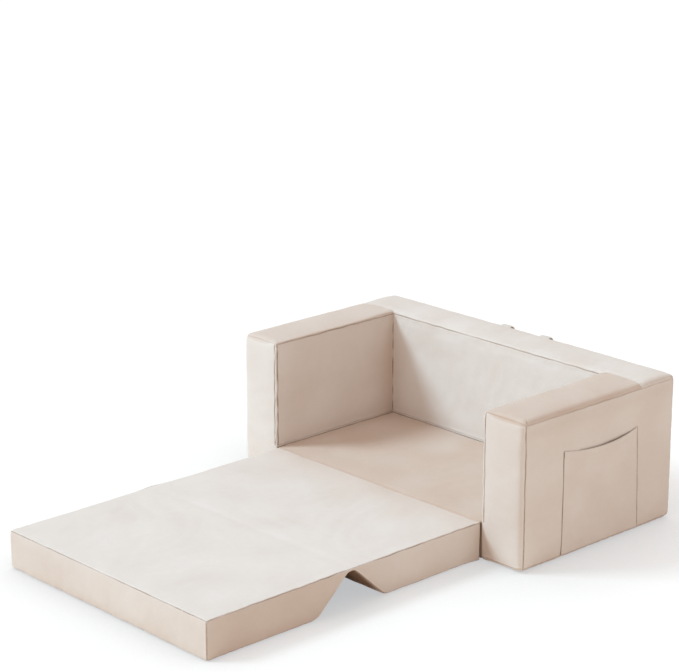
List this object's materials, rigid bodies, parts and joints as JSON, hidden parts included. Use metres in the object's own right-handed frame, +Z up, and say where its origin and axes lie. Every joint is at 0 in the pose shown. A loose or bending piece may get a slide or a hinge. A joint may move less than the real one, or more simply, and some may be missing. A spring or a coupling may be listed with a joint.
{
  "type": "fold-out foam chair",
  "caption": "Low child's foam sofa with padded arms and back whose seat and backrest unfold forwards over the floor into a mattress; side pockets, rear carry handle.",
  "frame": {"origin": "on the floor, at the centre of the frame's underside", "axes": "+Z up, +Y towards the back, the panels unfold along -Y, +X to the right of someone looking along +Y"},
  "size_m": [0.8644, 1.1862, 0.3224],
  "materials": {
    "cover_fabric": "matte",
    "pocket_fabric": "matte",
    "strap_fabric": "matte",
    "underside_fabric": "matte",
    "zip_tape": "matte",
    "zip_coil": "satin",
    "zip_slider": "satin",
    "foam": "matte"
  },
  "bodies": {
    "frame": {"left_arm_foam": "foam", "right_arm_foam": "foam", "back_foam": "foam", "base_foam": "foam", "frame_cover": "cover_fabric", "base_cover": "cover_fabric", "underside_panel": "underside_fabric", "left_pocket": "pocket_fabric", "right_pocket": "pocket_fabric", "front_hinge": "cover_fabric", "frame_zip_tape": "zip_tape", "frame_zip_coil": "zip_coil"},
    "seat": {"seat_foam": "foam", "seat_cover": "cover_fabric", "middle_hinge": "cover_fabric", "seat_zip_tape": "zip_tape", "seat_zip_coil": "zip_coil"},
    "backrest": {"backrest_foam": "foam", "backrest_cover": "cover_fabric", "backrest_zip_tape": "zip_tape", "backrest_zip_coil": "zip_coil"},
    "handle": {"carry_handle": "strap_fabric"},
    "frame_slider": {"frame_zip_slider": "zip_slider"},
    "seat_slider": {"seat_zip_slider": "zip_slider"},
    "backrest_slider": {"backrest_zip_slider": "zip_slider"}
  },
  "joints": [
    {"name": "seat_fold", "type": "hinge", "parent": "frame", "child": "seat", "pos_m": [0, -0.232, 0.0836], "axis": [-1, 0, 0], "range_deg": [0, 180], "deforming": ["front_hinge"]},
    {"name": "back_fold", "type": "hinge", "parent": "seat", "child": "backrest", "pos_m": [0, -0.585, 0.0836], "axis": [1, 0, 0], "range_deg": [0, 90], "deforming": ["middle_hinge"]},
    {"name": "handle_swing", "type": "hinge", "parent": "frame", "child": "handle", "pos_m": [0, 0.22715, 0.31838], "axis": [1, 0, 0], "range_deg": [0, 120]},
    {"name": "frame_zip_slide", "type": "slide", "parent": "frame", "child": "frame_slider", "axis": [-1, 0, 0], "range_m": [0, 0.578]},
    {"name": "seat_zip_slide", "type": "slide", "parent": "seat", "child": "seat_slider", "axis": [-1, 0, 0], "range_m": [0, 0.472]},
    {"name": "backrest_zip_slide", "type": "slide", "parent": "backrest", "child": "backrest_slider", "axis": [-1, 0, 0], "range_m": [0, 0.472]}
  ],
  "couplings": [
    {"joint": "back_fold", "follows": "seat_fold", "ratio": 0.5}
  ]
}
